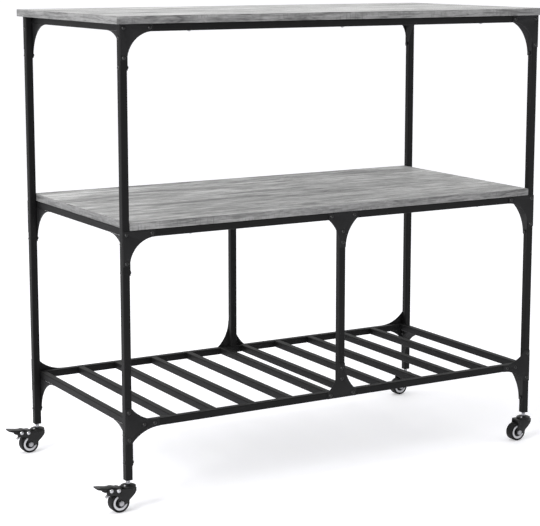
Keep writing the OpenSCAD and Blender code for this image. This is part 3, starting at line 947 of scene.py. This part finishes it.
rivet_profile = [(0, -0.8), (2.2, -0.8), (2.2, 0.3), (1.8, 1.0), (1.0, 1.5), (0, 1.7)]
rivet = lathe(rivet_profile, below_leg + RIVET_PLACE, UP, TINY)
settle(rivet, "cap_rivet_front_left", zinc)

on_every_leg([
    (stem, "frame", "zinc", "caster_stems"),
    (cap, "frame", "caster_black", "bearing_caps"),
    (rivet, "frame", "zinc", None),
], LEG_AXIS)
print("caps and stems on", len(CORNERS), "legs")

# %% [markdown]
# ## Pressed steel with soft edges
#
# Forks, pedals and plates are cut and bent from sheet, and coating rounds every edge a little.
# They could be modelled again, but their outlines and holes matter to the motion, so the CAD
# shape is kept: each is copied, its loose triangles are merged, and its flat faces are cleaned
# so that only real edges are left. A small bevel on those edges then catches the light the way
# coated sheet does.

# %% Soften a copy of a CAD node
SAME_POINT = 0.005 * MM
FLAT_ANGLE = math.radians(1)
REAL_EDGE = math.radians(35)


def softened(node, name, material, body, slot, width):
    """Stands a copy of a CAD node, with merged points and eased edges, in the node's place."""
    deselect()
    piece = nodes[node].copy()
    piece.data = nodes[node].data.copy()
    piece.parent = None
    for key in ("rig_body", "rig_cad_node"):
        if key in piece:
            del piece[key]
    bpy.context.scene.collection.objects.link(piece)
    edit_all(piece)
    bpy.ops.mesh.remove_doubles(threshold=SAME_POINT)
    bpy.ops.mesh.dissolve_limited(angle_limit=FLAT_ANGLE)
    bpy.ops.object.mode_set(mode="OBJECT")
    soften = piece.modifiers.new("soft_edges", "BEVEL")
    soften.width = width
    soften.segments = 2
    soften.limit_method = "ANGLE"
    soften.angle_limit = REAL_EDGE
    soften.use_clamp_overlap = True
    bpy.ops.object.select_all(action="DESELECT")
    piece.select_set(True)
    bpy.context.view_layer.objects.active = piece
    bpy.ops.object.modifier_apply(modifier="soft_edges")
    settle(piece, name, material)
    hand_over(piece, body, slot, node)


print("softening helper ready")

# %% Forks, pedals and plates
FORK_EDGE, PEDAL_EDGE, PLATE_EDGE = 0.35 * MM, 0.4 * MM, 0.25 * MM

for corner in CORNERS:
    softened(f"fork_{corner}", f"caster_fork_{corner}", caster_black, f"caster_{corner}",
             "caster_black", FORK_EDGE)
for end in ("front", "back"):
    softened(f"pedal_{end}", f"brake_pedal_{end}", caster_black, f"brake_{end}",
             "pedal_steel", PEDAL_EDGE)
for node in ("corner_plates", "tee_plates", "side_gussets"):
    softened(node, f"{node}_coated", plate_black, "frame", "black_plate", PLATE_EDGE)
print("forks, pedals and plates softened")

# %% [markdown]
# ## Nodes that keep their CAD shape
#
# Tubes already have rolled corners, and bolts, nuts and inserts are right as they come, so
# modelling them again would add nothing, and these only get their finishes. What a node is made
# of follows from how its name starts, and the first line that fits is used. The nodes that a
# piece stands for get a finish too, so that nothing is ever left plain.

# %% Finishes for the CAD nodes
FINISH = [
    (("leg_inserts",), plug_black),
    (("plate_bolts", "gusset_bolts", "cap_nuts"), bolt_black),
    (("brake_pad",), tread_black),
    (("leg_", "post_", "top_rail", "shelf_rail", "rack_"), tube_black),
    (("rivet_nuts", "board_screws", "bearing_balls", "brake_pins", "brake_plate"), zinc),
    (("corner_plates", "tee_plates", "side_gussets"), plate_black),
    (("fork_", "pedal_", "bearing_caps"), caster_black),
    (("axle_", "caster_stems"), zinc),
    (("rim_",), rim_grey),
    (("tyre_",), tread_black),
    (("top_board", "shelf_board"), oak_face),
]
for name, obj in nodes.items():
    finish = next(m for starts, m in FINISH if name.startswith(starts))
    obj.data.materials.clear()
    obj.data.materials.append(finish)
print("finished", len(nodes), "nodes")

# %% [markdown]
# ## Size
#
# The looks must not change the size.

# %% Print the size difference
seen_low, seen_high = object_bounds()
growth = (seen_high - seen_low) - (cad_high - cad_low)
print("size difference", [round(v / MM, 2) for v in growth], "mm")
